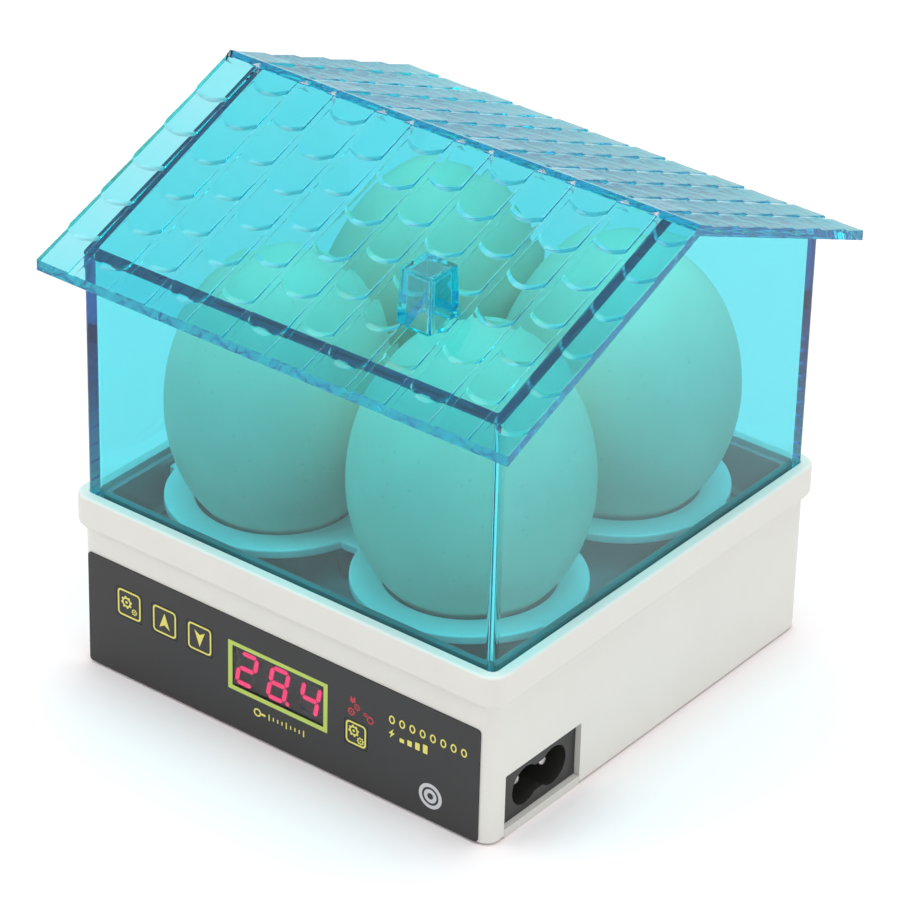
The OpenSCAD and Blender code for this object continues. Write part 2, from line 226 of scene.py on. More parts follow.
def merged_copy(node):
    """A CAD node's solid as one merged bmesh in millimetres, its flat triangles joined."""
    bm = bmesh.new()
    bm.from_mesh(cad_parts[node].data)
    bmesh.ops.scale(bm, vec=(1 / MM,) * 3, verts=bm.verts[:])
    bmesh.ops.remove_doubles(bm, verts=bm.verts[:], dist=0.002)
    bmesh.ops.dissolve_limit(bm, angle_limit=math.radians(1), verts=bm.verts[:], edges=bm.edges[:])
    return bm


# %% Making a piece
def make_piece(name, bm, body, material, replaces=(), smooth_below=32):
    """Turn a finished bmesh into a piece that rides on a CAD body."""
    for face in bm.faces:
        face.smooth = True
    for edge in bm.edges:
        edge.smooth = edge.calc_face_angle(math.pi) < math.radians(smooth_below)
    bmesh.ops.scale(bm, vec=(MM,) * 3, verts=bm.verts[:])
    mesh = bpy.data.meshes.new(name)
    bm.to_mesh(mesh)
    bm.free()
    mesh.materials.append(material)
    piece = bpy.data.objects.new(name, mesh)
    bpy.context.scene.collection.objects.link(piece)
    weigh = piece.modifiers.new("weigh", "WEIGHTED_NORMAL")
    weigh.keep_sharp = True
    depsgraph = bpy.context.evaluated_depsgraph_get()
    piece.data = bpy.data.meshes.new_from_object(piece.evaluated_get(depsgraph))
    piece.modifiers.clear()
    bpy.data.meshes.remove(mesh)
    piece.data.name = name
    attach(piece, body)
    if replaces:
        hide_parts(*replaces)
    print(name, "has", len(piece.data.polygons), "faces")
    return piece


# %% [markdown]
# ## Camera
# The camera stands front right and above the eaves. A long lens from far away keeps the
# upright edges nearly parallel, which suits a small boxy object. It is rolled a degree and a
# half, as a camera held by hand is. Its three directions are the columns of its turn.

# %% Camera
AZIMUTH, ELEVATION, ROLL = [math.radians(a) for a in (37.47, 30.53, 1.50)]
DISTANCE = 894.3
AIM = Vector((0.17, 0.13, 45.24))
FOCAL_LENGTH = 179.29

back = Vector((math.sin(AZIMUTH) * math.cos(ELEVATION), -math.cos(AZIMUTH) * math.cos(ELEVATION),
               math.sin(ELEVATION)))
level_right = Vector((math.cos(AZIMUTH), math.sin(AZIMUTH), 0))
level_up = back.cross(level_right)
right = level_right * math.cos(ROLL) + level_up * math.sin(ROLL)
up = level_up * math.cos(ROLL) - level_right * math.sin(ROLL)
lens = bpy.data.cameras.new("camera")
lens.lens = FOCAL_LENGTH
lens.sensor_width = 36
lens.clip_end = 20
camera = bpy.data.objects.new("camera", lens)
turn = Matrix((right, up, back)).transposed().to_4x4()
camera.matrix_world = Matrix.Translation((AIM + back * DISTANCE) * MM) @ turn
bpy.context.scene.collection.objects.link(camera)
bpy.context.scene.camera = camera
print("camera", round(DISTANCE), "mm away, looking down", round(math.degrees(ELEVATION)), "degrees")

# %% [markdown]
# ## Studio
# A white paper sheet, a bright sky and three large soft lamps give even light with soft
# shadows. Well away from the object the paper's colour is painted darker, a painted shade
# standing in for light that falls off, so that the glossy slopes have something darker than
# white to mirror. Clear plastic needs many bounces: light that enters an edge is passed along
# inside the wall before it comes out, tinted deep blue.

# %% Paper floor
# In metres from the middle: half the sheet's width, and where its painted shade starts and ends.
PAPER_HALF = 3
PAINTED_SHADE_FROM = 0.36
PAINTED_SHADE_TO = 0.60

floor_bm = bmesh.new()
bmesh.ops.create_grid(floor_bm, x_segments=1, y_segments=1, size=PAPER_HALF)
floor_mesh = bpy.data.meshes.new("floor")
floor_bm.to_mesh(floor_mesh)
floor_bm.free()
floor = bpy.data.objects.new("floor", floor_mesh)
bpy.context.scene.collection.objects.link(floor)

# Painted shade: the paper's own colour turns from white to grey away from the middle, standing in for
# light that falls off.
paper, tree, place = new_material("matt white paper with painted shade")
reach = add(tree, "ShaderNodeVectorMath", {0: place}, operation="LENGTH")
shade = add(tree, "ShaderNodeMapRange", {"Value": reach.outputs["Value"], "From Min": PAINTED_SHADE_FROM,
                                         "From Max": PAINTED_SHADE_TO}, interpolation_type="SMOOTHSTEP")
tone = add(tree, "ShaderNodeMix", {0: shade.outputs["Result"], 6: linear("#F4EEEC"),
                                   7: linear("#D2D6D6")}, data_type="RGBA")
sheet = add(tree, "ShaderNodeBsdfPrincipled", {"Base Color": tone.outputs[2], "Roughness": 0.9})
finish_material(tree, sheet.outputs["BSDF"])
floor_mesh.materials.append(paper)
print("paper floor", 2 * PAPER_HALF, "m wide")

# %% Sky and lamps
BOUNCES = 40
SKY_STRENGTH = 0.76
LAMP_AIM = Vector((0, 0, 0.05))

scene = bpy.context.scene
scene.view_settings.view_transform = "Standard"
scene.cycles.max_bounces = BOUNCES
scene.cycles.transmission_bounces = BOUNCES
scene.cycles.glossy_bounces = BOUNCES
world = bpy.data.worlds.new("studio sky")
world.use_nodes = True
sky = world.node_tree.nodes["Background"]
sky.inputs["Color"].default_value = linear("#F8F8FF")
sky.inputs["Strength"].default_value = SKY_STRENGTH
scene.world = world


def soft_lamp(name, place, watts, width):
    """A square area lamp, placed in metres, that faces the object."""
    data = bpy.data.lights.new(name, "AREA")
    data.energy = watts
    data.size = width
    lamp = bpy.data.objects.new(name, data)
    away = Vector(place) - LAMP_AIM
    turn = away.to_track_quat("Z", "Y").to_matrix().to_4x4()
    lamp.matrix_world = Matrix.Translation(Vector(place)) @ turn
    scene.collection.objects.link(lamp)


soft_lamp("lamp_left", (-0.7, -0.7, 0.9), 3.0, 0.7)
soft_lamp("lamp_right", (1.0, -0.2, 0.7), 1.8, 0.7)
soft_lamp("lamp_top", (0.0, 0.1, 1.3), 9.0, 0.9)
print(len(bpy.data.lights), "soft lamps, and up to", BOUNCES, "bounces for the clear plastic")

# %% [markdown]
# ## Tinted clear plastic
# The cover is injection-moulded crystal polystyrene with the tint in the plastic itself. A
# wall seen square-on is pale, and an edge, seen through a long run of plastic, is dark blue.
# Volume absorption gives exactly that: red light dies within a few millimetres, blue hardly
# at all. Each skin also holds back a little light of every colour, as handled plastic does.
# Lamps pass straight through on shadow rays, so that the eggs inside stay lit. A low broad
# ripple in the skin, left by the flow of the melt, bends what is seen through it.

# %% Tinted polystyrene
# One wave is about 22 mm long, so there are 45 in a metre; its height is in millimetres.
RIPPLE_SCALE = 45.0
RIPPLE_HEIGHT = 0.02


def tinted_clear(name, passed, absorbed):
    """Polished clear plastic: what its skin passes, and what its body absorbs per metre."""
    material, tree, place = new_material(name)
    waves = add(tree, "ShaderNodeTexNoise", {"Vector": place, "Scale": RIPPLE_SCALE, "Detail": 1.5})
    bump = add(tree, "ShaderNodeBump", {"Height": waves.outputs["Fac"], "Strength": 0.5,
                                        "Distance": RIPPLE_HEIGHT * MM})
    clear = add(tree, "ShaderNodeBsdfPrincipled", {
        "Base Color": (*passed, 1), "Roughness": 0.02, "IOR": 1.5, "Transmission Weight": 1.0,
        "Normal": bump.outputs["Normal"]})
    open_pane = add(tree, "ShaderNodeBsdfTransparent", {"Color": (1, 1, 1, 1)})
    path = add(tree, "ShaderNodeLightPath")
    mix = add(tree, "ShaderNodeMixShader", {
        0: path.outputs["Is Shadow Ray"], 1: clear.outputs["BSDF"], 2: open_pane.outputs["BSDF"]})
    density = max(absorbed)
    colour = [1 - loss / density for loss in absorbed]
    depth = add(tree, "ShaderNodeVolumeAbsorption", {"Color": (*colour, 1), "Density": density})
    finish_material(tree, mix.outputs["Shader"], depth.outputs["Volume"])
    return material


wall_plastic = tinted_clear("clear blue polystyrene walls", (0.91, 0.90, 0.93), (390, 19, 9))
roof_plastic = tinted_clear("clear blue polystyrene roof", (0.82, 0.81, 0.86), (500, 13, 6))
print("made", wall_plastic.name, "and", roof_plastic.name)

# %% [markdown]
# ## Moulded plastics
# Most other parts are opaque moulded plastic. Each has a faint mottle about a centimetre
# across, from the flow of the melt, and a fine grain from the spark-eroded mould, which
# breaks up its highlights. The grain is drawn a little coarser than the real 0.05 mm, so
# that it shows.

# %% Moulded plastic
# The mottle's clouds are about 11 mm across, so there are 90 in a metre.
MOTTLE_SCALE = 90.0


def moulded(name, colour, roughness=0.42, grain=0.3, height=0.008, mottle=0.03, coat=0.0):
    """Opaque moulded plastic, with its grain size and grain height in millimetres."""
    material, tree, place = new_material(name)
    flow = add(tree, "ShaderNodeTexNoise", {"Vector": place, "Scale": MOTTLE_SCALE, "Detail": 3.0})
    shade = add(tree, "ShaderNodeMapRange", {"Value": flow.outputs["Fac"], "To Min": 1 - mottle,
                                             "To Max": 1 + mottle})
    tint = add(tree, "ShaderNodeMix", {0: 1.0, 6: linear(colour), 7: shade.outputs["Result"]},
               data_type="RGBA", blend_type="MULTIPLY")
    grains = add(tree, "ShaderNodeTexNoise", {"Vector": place, "Scale": 1 / (grain * MM),
                                              "Detail": 1.0})
    bump = add(tree, "ShaderNodeBump", {"Height": grains.outputs["Fac"], "Strength": 0.5,
                                        "Distance": height * MM})
    rough = add(tree, "ShaderNodeMapRange", {
        "Value": grains.outputs["Fac"], "To Min": roughness - 0.07, "To Max": roughness + 0.07})
    skin = add(tree, "ShaderNodeBsdfPrincipled", {
        "Base Color": tint.outputs[2], "Roughness": rough.outputs["Result"], "IOR": 1.5,
        "Coat Weight": coat, "Normal": bump.outputs["Normal"]})
    finish_material(tree, skin.outputs["BSDF"])
    return material


# ABS shells are satin; the liner and the shrink sleeve are glossier, so they get a thin coat.
white_abs = moulded("satin white ABS", "#DFDED5")
bottom_abs = moulded("satin white ABS bottom", "#D4D3CC", roughness=0.5)
liner_plastic = moulded("dark grey ABS liner", "#5D7D80", roughness=0.3, mottle=0.06, coat=0.5)
tray_plastic = moulded("white polypropylene tray", "#F4F5F2", roughness=0.35, height=0.004)
# Printed film and inks are matt and almost flat; rubber and silicone are dull and cloudy.
film_print = moulded("matt dark printed film", "#2B2A2A", roughness=0.5, grain=0.25, height=0.003)
inlet_nylon = moulded("charcoal nylon", "#2C2C29", roughness=0.45)
black_nylon = moulded("black nylon", "#1C1C1D", roughness=0.45)
green_nylon = moulded("green nylon", "#2E7D52", roughness=0.4)
rubber = moulded("black rubber", "#232424", roughness=0.7, mottle=0.08)
silicone = moulded("orange silicone heater mat", "#B4502A", roughness=0.6, mottle=0.08)
ceramic = moulded("unglazed ceramic", "#D9D2C2", roughness=0.7, mottle=0.06)
yellow_ink = moulded("yellow screen ink", "#E2DB6A", roughness=0.6, mottle=0.06)
green_ink = moulded("yellow-green screen ink", "#B9CE60", roughness=0.6, mottle=0.06)
silver_ink = moulded("silver screen ink", "#C9CACB", roughness=0.4, mottle=0.08)
brown_wire = moulded("brown PVC sheath", "#5B3A26", roughness=0.4)
red_wire = moulded("red PVC sheath", "#B02A24", roughness=0.4)
grey_wire = moulded("grey PVC sheath", "#8C8E90", roughness=0.4)
sleeve = moulded("dark blue shrink sleeve", "#1E2C55", roughness=0.25, coat=0.4)
winding_tape = moulded("yellow winding tape", "#C79B2B", roughness=0.35, mottle=0.1)
print(len(bpy.data.materials), "materials so far")

# %% [markdown]
# ## Metals
# The inlet pins are nickel-plated brass and the screws zinc-plated steel. Drawn and rolled
# metal has fine lines along its length, so the noise is stretched one way.

# %% Metals
def drawn_metal(name, colour, roughness, line=0.15):
    """Bright metal with fine drawn lines; line is their spacing in millimetres."""
    material, tree, place = new_material(name)
    stretch = add(tree, "ShaderNodeMapping", {"Vector": place, "Scale": (1.0, 1.0, 12.0)})
    lines = add(tree, "ShaderNodeTexNoise", {"Vector": stretch.outputs["Vector"],
                                             "Scale": 0.25 / (line * MM), "Detail": 2.0})
    rough = add(tree, "ShaderNodeMapRange", {"Value": lines.outputs["Fac"],
                                             "To Min": roughness - 0.1, "To Max": roughness + 0.1})
    bump = add(tree, "ShaderNodeBump", {"Height": lines.outputs["Fac"], "Strength": 0.4,
                                        "Distance": 0.005 * MM})
    skin = add(tree, "ShaderNodeBsdfPrincipled", {
        "Base Color": linear(colour), "Metallic": 1.0, "Roughness": rough.outputs["Result"],
        "Normal": bump.outputs["Normal"]})
    finish_material(tree, skin.outputs["BSDF"])
    return material


nickel = drawn_metal("nickel-plated brass", "#D8D4CC", 0.2)
zinc = drawn_metal("zinc-plated steel", "#B9BCBD", 0.35)
probe_steel = drawn_metal("drawn stainless steel", "#C4C6C6", 0.3)
print("metals:", nickel.name + ",", zinc.name, "and", probe_steel.name)

# %% [markdown]
# ## Eggshell
# A hen's eggshell is chalky calcite with thousands of pores and a thin dull bloom. Small
# shallow pits about half a millimetre apart break up its sheen, brown pigment lies in soft
# clouds, and a few darker specks are scattered over it.

# %% Eggshell
PORE_SPACING = 0.55
CLOUD = 11.0
SPECK_SPACING = 2.4


def eggshell(name, pale, deep):
    """Chalky shell with pores, soft clouds of pigment and specks; sizes in millimetres."""
    material, tree, place = new_material(name)
    cloud = add(tree, "ShaderNodeTexNoise", {"Vector": place, "Scale": 1 / (CLOUD * MM),
                                             "Detail": 4.0})
    tone = add(tree, "ShaderNodeMix", {0: cloud.outputs["Fac"], 6: linear(pale), 7: linear(deep)},
               data_type="RGBA")
    speck = add(tree, "ShaderNodeTexVoronoi", {"Vector": place, "Scale": 1 / (SPECK_SPACING * MM)})
    dot = add(tree, "ShaderNodeMapRange", {"Value": speck.outputs["Distance"], "From Min": 0.06,
                                           "From Max": 0.14, "To Min": 0.82, "To Max": 1.0})
    spotted = add(tree, "ShaderNodeMix", {0: 1.0, 6: tone.outputs[2], 7: dot.outputs["Result"]},
                  data_type="RGBA", blend_type="MULTIPLY")
    pores = add(tree, "ShaderNodeTexVoronoi", {"Vector": place, "Scale": 1 / (PORE_SPACING * MM)})
    bump = add(tree, "ShaderNodeBump", {"Height": pores.outputs["Distance"], "Strength": 0.35,
                                        "Distance": 0.03 * MM})
    skin = add(tree, "ShaderNodeBsdfPrincipled", {
        "Base Color": spotted.outputs[2], "Roughness": 0.58, "Subsurface Weight": 0.05,
        "Subsurface Scale": 0.5 * MM, "Normal": bump.outputs["Normal"]})
    finish_material(tree, skin.outputs["BSDF"])
    return material


shells = [eggshell("brown eggshell", "#F2DAC6", "#E6CAB2"),
          eggshell("tan eggshell", "#EFD9C6", "#E4C9B3"),
          eggshell("light brown eggshell", "#F0D9C7", "#E5C8B1"),
          eggshell("warm brown eggshell", "#F0D7C2", "#E2C5AC")]
print(len(shells), "eggshells, each a little different in tone")

# %% [markdown]
# ## Circuit boards
# The control board is green fibreglass, and the power board plain tan laminate. Copper tracks
# show through the lacquer as slightly lighter lanes, so a brick pattern 1.3 mm apart stands
# for them.

# %% Circuit boards
TRACK_PITCH = 1.3


def circuit_board(name, lacquer, track):
    """Lacquered laminate with lighter lanes where the copper runs."""
    material, tree, place = new_material(name)
    lanes = add(tree, "ShaderNodeTexBrick", {"Vector": place, "Color1": linear(lacquer),
                                             "Color2": linear(track), "Mortar": linear(lacquer),
                                             "Scale": 1 / (2 * TRACK_PITCH * MM), "Mortar Size": 0.03})
    skin = add(tree, "ShaderNodeBsdfPrincipled", {"Base Color": lanes.outputs["Color"],
                                                  "Roughness": 0.35, "Coat Weight": 0.3})
    finish_material(tree, skin.outputs["BSDF"])
    return material


green_board = circuit_board("green lacquered board", "#1F5B34", "#2D7042")
tan_board = circuit_board("tan laminate board", "#B78E5A", "#C29C6B")
print("boards:", green_board.name, "and", tan_board.name)

# %% [markdown]
# ## Display and lamps
# A seven-segment module has a black-green face, milky bars and red chips behind them. Lit
# bars glow pink-red with a deeper rim; bars that are off are only a little paler than the
# face. The window in front is the clear part of the film. Its matt coat keeps it from
# mirroring the room, which a low index of refraction stands for. The fuse has real glass.

# %% Glowing bars and clear panes
def glowing(name, core, glow, strength, patch=0.8):
    """A milky bar lit from behind, a little uneven over patches of a size in millimetres."""
    material, tree, place = new_material(name)
    spot = add(tree, "ShaderNodeTexNoise", {"Vector": place, "Scale": 1 / (patch * MM)})
    light = add(tree, "ShaderNodeMix", {0: spot.outputs["Fac"], 6: linear(glow), 7: linear(core)},
                data_type="RGBA")
    skin = add(tree, "ShaderNodeBsdfPrincipled", {
        "Base Color": linear("#30060F"), "Roughness": 0.4, "Emission Color": light.outputs[2],
        "Emission Strength": strength})
    finish_material(tree, skin.outputs["BSDF"])
    return material


lit_bar = glowing("lit display bar", "#FF4F8E", "#FF3374", 1.0)
lit_rim = glowing("red glow round a bar", "#7E0E32", "#5C0A26", 0.8)
red_mark = glowing("red lit mark", "#D03A48", "#A82C38", 0.8)
unlit_bar = moulded("unlit display bar", "#2E3A36", roughness=0.35)
display_face = moulded("black-green display face", "#070B08", roughness=0.3, coat=0.5)
red_lens = moulded("red lamp lens", "#9C1B22", roughness=0.2, coat=0.6)


def clear_pane(name, tint, index=1.49, roughness=0.04):
    """Thin clear plastic or glass that lets lamp rays through."""
    material, tree, place = new_material(name)
    haze = add(tree, "ShaderNodeTexNoise", {"Vector": place, "Scale": 1 / (1.5 * MM)})
    rough = add(tree, "ShaderNodeMapRange", {
        "Value": haze.outputs["Fac"], "To Min": roughness * 0.5, "To Max": roughness * 1.5})
    pane = add(tree, "ShaderNodeBsdfPrincipled", {
        "Base Color": linear(tint), "Roughness": rough.outputs["Result"], "IOR": index,
        "Transmission Weight": 1.0})
    open_pane = add(tree, "ShaderNodeBsdfTransparent", {"Color": linear(tint)})
    path = add(tree, "ShaderNodeLightPath")
    mix = add(tree, "ShaderNodeMixShader", {
        0: path.outputs["Is Shadow Ray"], 1: pane.outputs["BSDF"], 2: open_pane.outputs["BSDF"]})
    finish_material(tree, mix.outputs["Shader"])
    return material


window_pane = clear_pane("clear matt-coated window", "#F4ECEE", index=1.15)
fuse_glass = clear_pane("fuse glass", "#EAF2EC")
print(len(bpy.data.materials), "materials in all")

# %% [markdown]
# ## Roof
# The roof is one moulding: a slab 2.4 mm thick folded at the ridge, with rows of round-ended
# tiles in relief and a hollow chimney. The tiles stand in columns, wide and narrow by turns,
# with a shallow groove between two columns, whose steep walls read as dark lines. Each tile
# rises a little towards its lower end and drops to the next one over a rounded nose, which
# catches the light. One grid makes a whole slope: its columns follow the tiles and grooves,
# and its rows follow the noses, so that the relief is real shape and refracts as the real
# one does.

# %% Tile layout
ROOF_T = 2.4

# Across the roof: the first groove's place, the width of a wide and a narrow column together,
# and the width of a wide one alone.
FIRST_GROOVE = -48.3
PAIR_W = 19.44
WIDE_W = 10.3
GROOVE_HALF = 0.8
GROOVE_WALL = 0.08
GROOVE_DEPTH = 0.38
EDGE_DROP = 0.06

# Down a slope: the pitch of the rows, where the first tiles end, and how much sooner a
# tile's sides end than its middle.
ROW = 10.2
ROWS = 6
FIRST_END = {"wide": 6.9, "narrow": 2.7}
SAG = {"wide": 2.2, "narrow": 1.5}

# The flat strip at the ridge, the drop after it, and the drop under a first tile too short
# to have a nose.
RIDGE_ROLL = 1.1
RIDGE_DROP = 0.25
SHORT_DROP = 0.15

# A nose as pairs: how far past the tile's end, and how deep below the slope's outer face.
STEP = 0.42
NOSE = [(-0.8, 0.0), (-0.6, 0.03), (0.05, 0.22), (0.3, 0.39), (0.4, STEP)]

half_w = roof_high.x
ridge_z = roof_high.z
rise = ridge_z - ROOF_T - roof_low.z
slope = rise / half_w
tilt = math.atan(slope)
grooves = sorted([FIRST_GROOVE + PAIR_W * k for k in range(6)]
                 + [FIRST_GROOVE + WIDE_W + PAIR_W * k for k in range(5)])
edges = [-half_w] + grooves + [half_w]
print(len(grooves), "grooves; the roof slopes at", round(math.degrees(tilt), 1), "degrees")

# %% Across a slope
def across():
    """Samples across the roof: x, column kind, place across the column, and edge drop.

    A drop of None marks the bottom of a groove.
    """
    inner = [-0.96, -0.8, -0.55, -0.28, 0.0, 0.28, 0.55, 0.8, 0.96]
    samples = []
    for number, (left, right) in enumerate(zip(edges, edges[1:])):
        kind = "narrow" if number % 2 == 0 else "wide"
        left += GROOVE_HALF if number else 0
        right -= GROOVE_HALF if number < len(edges) - 2 else 0
        mid, half = (left + right) / 2, (right - left) / 2
        samples.append((left, kind, -1.0, EDGE_DROP))
        samples += [(mid + half * s, kind, s, 0.0) for s in inner]
        samples.append((right, kind, 1.0, EDGE_DROP))
        if number < len(edges) - 2:
            far = right + 2 * GROOVE_HALF
            other = "wide" if kind == "narrow" else "narrow"
            samples.append((right + GROOVE_WALL, kind, 1.0, None))
            samples.append((far - GROOVE_WALL, other, -1.0, None))
    return samples


def tile_end(kind, s, k):
    """How far down the slope tile k ends, at a place across its column."""
    return FIRST_END[kind] + ROW * k - SAG[kind] * s * s


def down(kind, s):
    """Rows down one column: distance from the ridge, and depth below the slope's outer face."""
    rows = [(0.0, 0.0), (RIDGE_ROLL, 0.0), (RIDGE_ROLL + RIDGE_DROP, RIDGE_DROP)]
    for k in range(ROWS):
        end = tile_end(kind, s, k)
        short = kind == "narrow" and k == 0
        for forward, drop in NOSE:
            rows.append((end + forward, SHORT_DROP if short else drop))
    last_end, last_depth = rows[-1]
    length = half_w / math.cos(tilt)
    rows.append((length, last_depth * (1 - (length - last_end) / ROW)))
    return rows


# %% One slope as a grid
def slope_sheet():
    """The outer face of the front slope, with its tiles, as an open sheet."""
    samples = across()
    count = len(down("wide", 0.0))
    bm = bmesh.new()
    bmesh.ops.create_grid(bm, x_segments=len(samples) - 1, y_segments=count - 1, size=0.5)
    for vert in bm.verts:
        x, kind, s, drop = samples[round((vert.co.x + 0.5) * (len(samples) - 1))]
        row = round((0.5 - vert.co.y) * (count - 1))
        distance, depth = down(kind, s)[row]
        if drop is None:
            depth = GROOVE_DEPTH if row > 1 else 0.0
        elif row > 1:
            depth += drop
        y = -distance * math.cos(tilt) + depth * math.sin(tilt)
        z = ridge_z - distance * math.sin(tilt) - depth * math.cos(tilt)
        if row == count - 1:
            z -= slope * (half_w + y)
            y = -half_w
        vert.co = Vector((x, y, z))
    return bm


# %% Both slopes as a solid
# The sheet is mirrored at the ridge, copied, and the copy is laid flat underneath. A band of
# faces round the edge then joins the two.
roof = slope_sheet()
bmesh.ops.mirror(roof, geom=roof.verts[:] + roof.edges[:] + roof.faces[:],
                 matrix=Matrix.Identity(4), merge_dist=0.001, axis="Y")
bmesh.ops.remove_doubles(roof, verts=roof.verts[:], dist=0.001)
copied = bmesh.ops.duplicate(roof, geom=roof.verts[:] + roof.edges[:] + roof.faces[:])["geom"]
under_verts = [v for v in copied if isinstance(v, bmesh.types.BMVert)]
for vert in under_verts:
    vert.co.z = ridge_z - ROOF_T - slope * abs(vert.co.y)
bmesh.ops.bridge_loops(roof, edges=[e for e in roof.edges if e.is_boundary])
bmesh.ops.recalc_face_normals(roof, faces=roof.faces[:])
print("open edges in the roof:", sum(e.is_boundary for e in roof.edges))

# %% [markdown]
# ## Chimney
# The chimney is a little hollow tower on the front slope, open from below, so that it lifts
# out of the mould. Its walls taper upwards. A tapered block joins the roof, and a smaller
# one cuts the hollow.

# %% Chimney
CHIMNEY_AT = (22.7, -37.0)
CHIMNEY_TOP = 110.0
CHIMNEY_FOOT, CHIMNEY_HEAD, CHIMNEY_WALL = 8.6, 7.8, 1.3
slope_at_chimney = ridge_z + slope * CHIMNEY_AT[1]
TOWER_SUNK = 1.8
HOLLOW_SUNK = 10


def tower(foot, head, z0, z1, corner, edge):
    """A square tapered tower on the chimney's axis."""
    half = foot / 2
    bm = block((-half, -half, z0), (half, half, z1), corner=corner, edge=edge, segments=4)
    for vert in bm.verts:
        grow = 1 + (head / foot - 1) * (vert.co.z - z0) / (z1 - z0)
        vert.co.x = CHIMNEY_AT[0] + vert.co.x * grow
        vert.co.y = CHIMNEY_AT[1] + vert.co.y * grow
    return bm


outside = tower(CHIMNEY_FOOT, CHIMNEY_HEAD, slope_at_chimney - TOWER_SUNK, CHIMNEY_TOP,
                corner=0.5, edge=0.35)
hollow = tower(CHIMNEY_FOOT - 2 * CHIMNEY_WALL, CHIMNEY_HEAD - 2 * CHIMNEY_WALL,
               slope_at_chimney - HOLLOW_SUNK, CHIMNEY_TOP - CHIMNEY_WALL, corner=0.4, edge=0.3)
roof = cut(join(roof, outside), hollow)
make_piece("roof_with_tiles", roof, "cover", roof_plastic, ["cover_roof"])

# %% [markdown]
# ## Cover walls
# The clear walls are a square tube with two gables, 2.3 mm thick. Their tops meet the roof's
# underside with a hair of air between, so the wall tops look like a dark blue line through
# the roof. A solid house shape is sliced along both slopes, then hollowed.

# %% Cover walls
WALL_T = 2.3
WALL_CORNER = 1.2
AIR = 0.06

house = block(walls_low, (walls_high.x, walls_high.y, ridge_z + 5), corner=WALL_CORNER)
for side in (-1, 1):
    bmesh.ops.bisect_plane(
        house, geom=house.verts[:] + house.edges[:] + house.faces[:], dist=0.0001,
        plane_co=(0, 0, ridge_z - ROOF_T - AIR),
        plane_no=(0, side * math.sin(tilt), math.cos(tilt)), clear_outer=True)
    open_edges = [e for e in house.edges if e.is_boundary]
    bmesh.ops.holes_fill(house, edges=open_edges, sides=len(open_edges))
soften(house, outward_edges(house, where=lambda p: p.z > walls_low.z + 1 and abs(p.y) > 1), 0.15, 2)
room = block((walls_low.x + WALL_T, walls_low.y + WALL_T, walls_low.z - 1),
             (walls_high.x - WALL_T, walls_high.y - WALL_T, ridge_z + 9), corner=0.6)
walls = cut(house, room)
make_piece("clear_walls", walls, "cover", wall_plastic, ["cover_walls"])

# %% [markdown]
# ## Base housing
# The white housing is a box with a thicker rim round its top. A step runs under the rim, and
# a recess in it takes the cover's foot. It is built as a moulder's drawing would have it:
# rounded blocks joined from the outside, then the recess, the pan's pocket and the bay for
# the electronics cut out, then the windows in its front and right walls.

# %% Housing outside
BODY_HALF = 52.0
BODY_CORNER = 3.0
RIM_H = 7.0
RIM_Z = base_high.z - RIM_H
STEP_OUT, STEP_H = 0.7, 0.8


def plinth(half, z0, z1, corner, edge=0.0):
    """A square block with rounded corners, centred on the base."""
    return block((-half, -half, z0), (half, half, z1), corner=corner, edge=edge)


housing = plinth(BODY_HALF, base_low.z, RIM_Z + 1, BODY_CORNER, 0.3)
housing = join(housing, plinth(BODY_HALF + STEP_OUT, RIM_Z - STEP_H, RIM_Z + 1,
                               BODY_CORNER + 0.4, 0.3))
housing = join(housing, plinth(base_high.x, RIM_Z, base_high.z, BODY_CORNER + 1, 0.7))

# %% Housing inside
# From the top down: the recess for the cover, the pan's pocket, the heater's opening through
# the deck, and the bay for the electronics.
COVER_GAP = 0.12
SEAT_Z = 35.0
POCKET_HALF = 49.0
DECK_Z, DECK_T = 25.6, 1.5
HEATER_HALF = 28.0
BAY_HALF = 50.0


def at_recess_edge(p):
    """True at the inner edge of the rim's top."""
    return p.z > base_high.z - 0.01 and max(abs(p.x), abs(p.y)) < walls_high.x + 0.35


housing = cut(housing, plinth(walls_high.x + COVER_GAP, SEAT_Z, base_high.z + 5, WALL_CORNER + 0.3))
housing = cut(housing, plinth(POCKET_HALF, DECK_Z + DECK_T, SEAT_Z + 1, 1.0))
housing = cut(housing, plinth(HEATER_HALF, DECK_Z - 1, DECK_Z + DECK_T + 1, 1.0))
housing = cut(housing, plinth(BAY_HALF, base_low.z - 1, DECK_Z, 1.5))
soften(housing, outward_edges(housing, where=at_recess_edge), 0.12, 2)
print("the housing has", len(housing.faces), "faces before its openings")

# %% Openings in the housing
KEYS = ["set", "up", "down", "mode"]
KEY_GAP = 0.15
DISPLAY_GAP = 0.2
NOTCH_GAP = 0.1
for key in KEYS:
    low, high = node_box("key_" + key)
    hole = block((low.x - KEY_GAP, -BODY_HALF - 1, low.z - KEY_GAP),
                 (high.x + KEY_GAP, -BAY_HALF + 0.5, high.z + KEY_GAP), corner=0.5, axis=1)
    housing = cut(housing, hole)
display_low, display_high = node_box("led_display")
bezel = block((display_low.x - DISPLAY_GAP, -BODY_HALF - 1, display_low.z - DISPLAY_GAP),
              (display_high.x + DISPLAY_GAP, -BAY_HALF + 0.5, display_high.z + DISPLAY_GAP))
housing = cut(housing, bezel)
inlet_low, inlet_high = node_box("inlet_socket")
notch = block((BAY_HALF - 1, inlet_low.y - NOTCH_GAP, -1),
              (BODY_HALF + 1, inlet_high.y + NOTCH_GAP, inlet_high.z + NOTCH_GAP),
              corner=0.3, axis=0)
housing = cut(housing, notch)
make_piece("housing_shell", housing, "base", white_abs, ["base_housing"])

# %% [markdown]
# ## Bottom cover, pan, tray and probe
# Two of these CAD solids already have the right shape, so each is a merged copy with its
# sharp outer edges rounded, as a mould would leave them. The pan is made anew: its floor
# meets its walls in a small fillet, which comes from rounding the block that hollows it, and
# a shallow water channel runs round the floor.

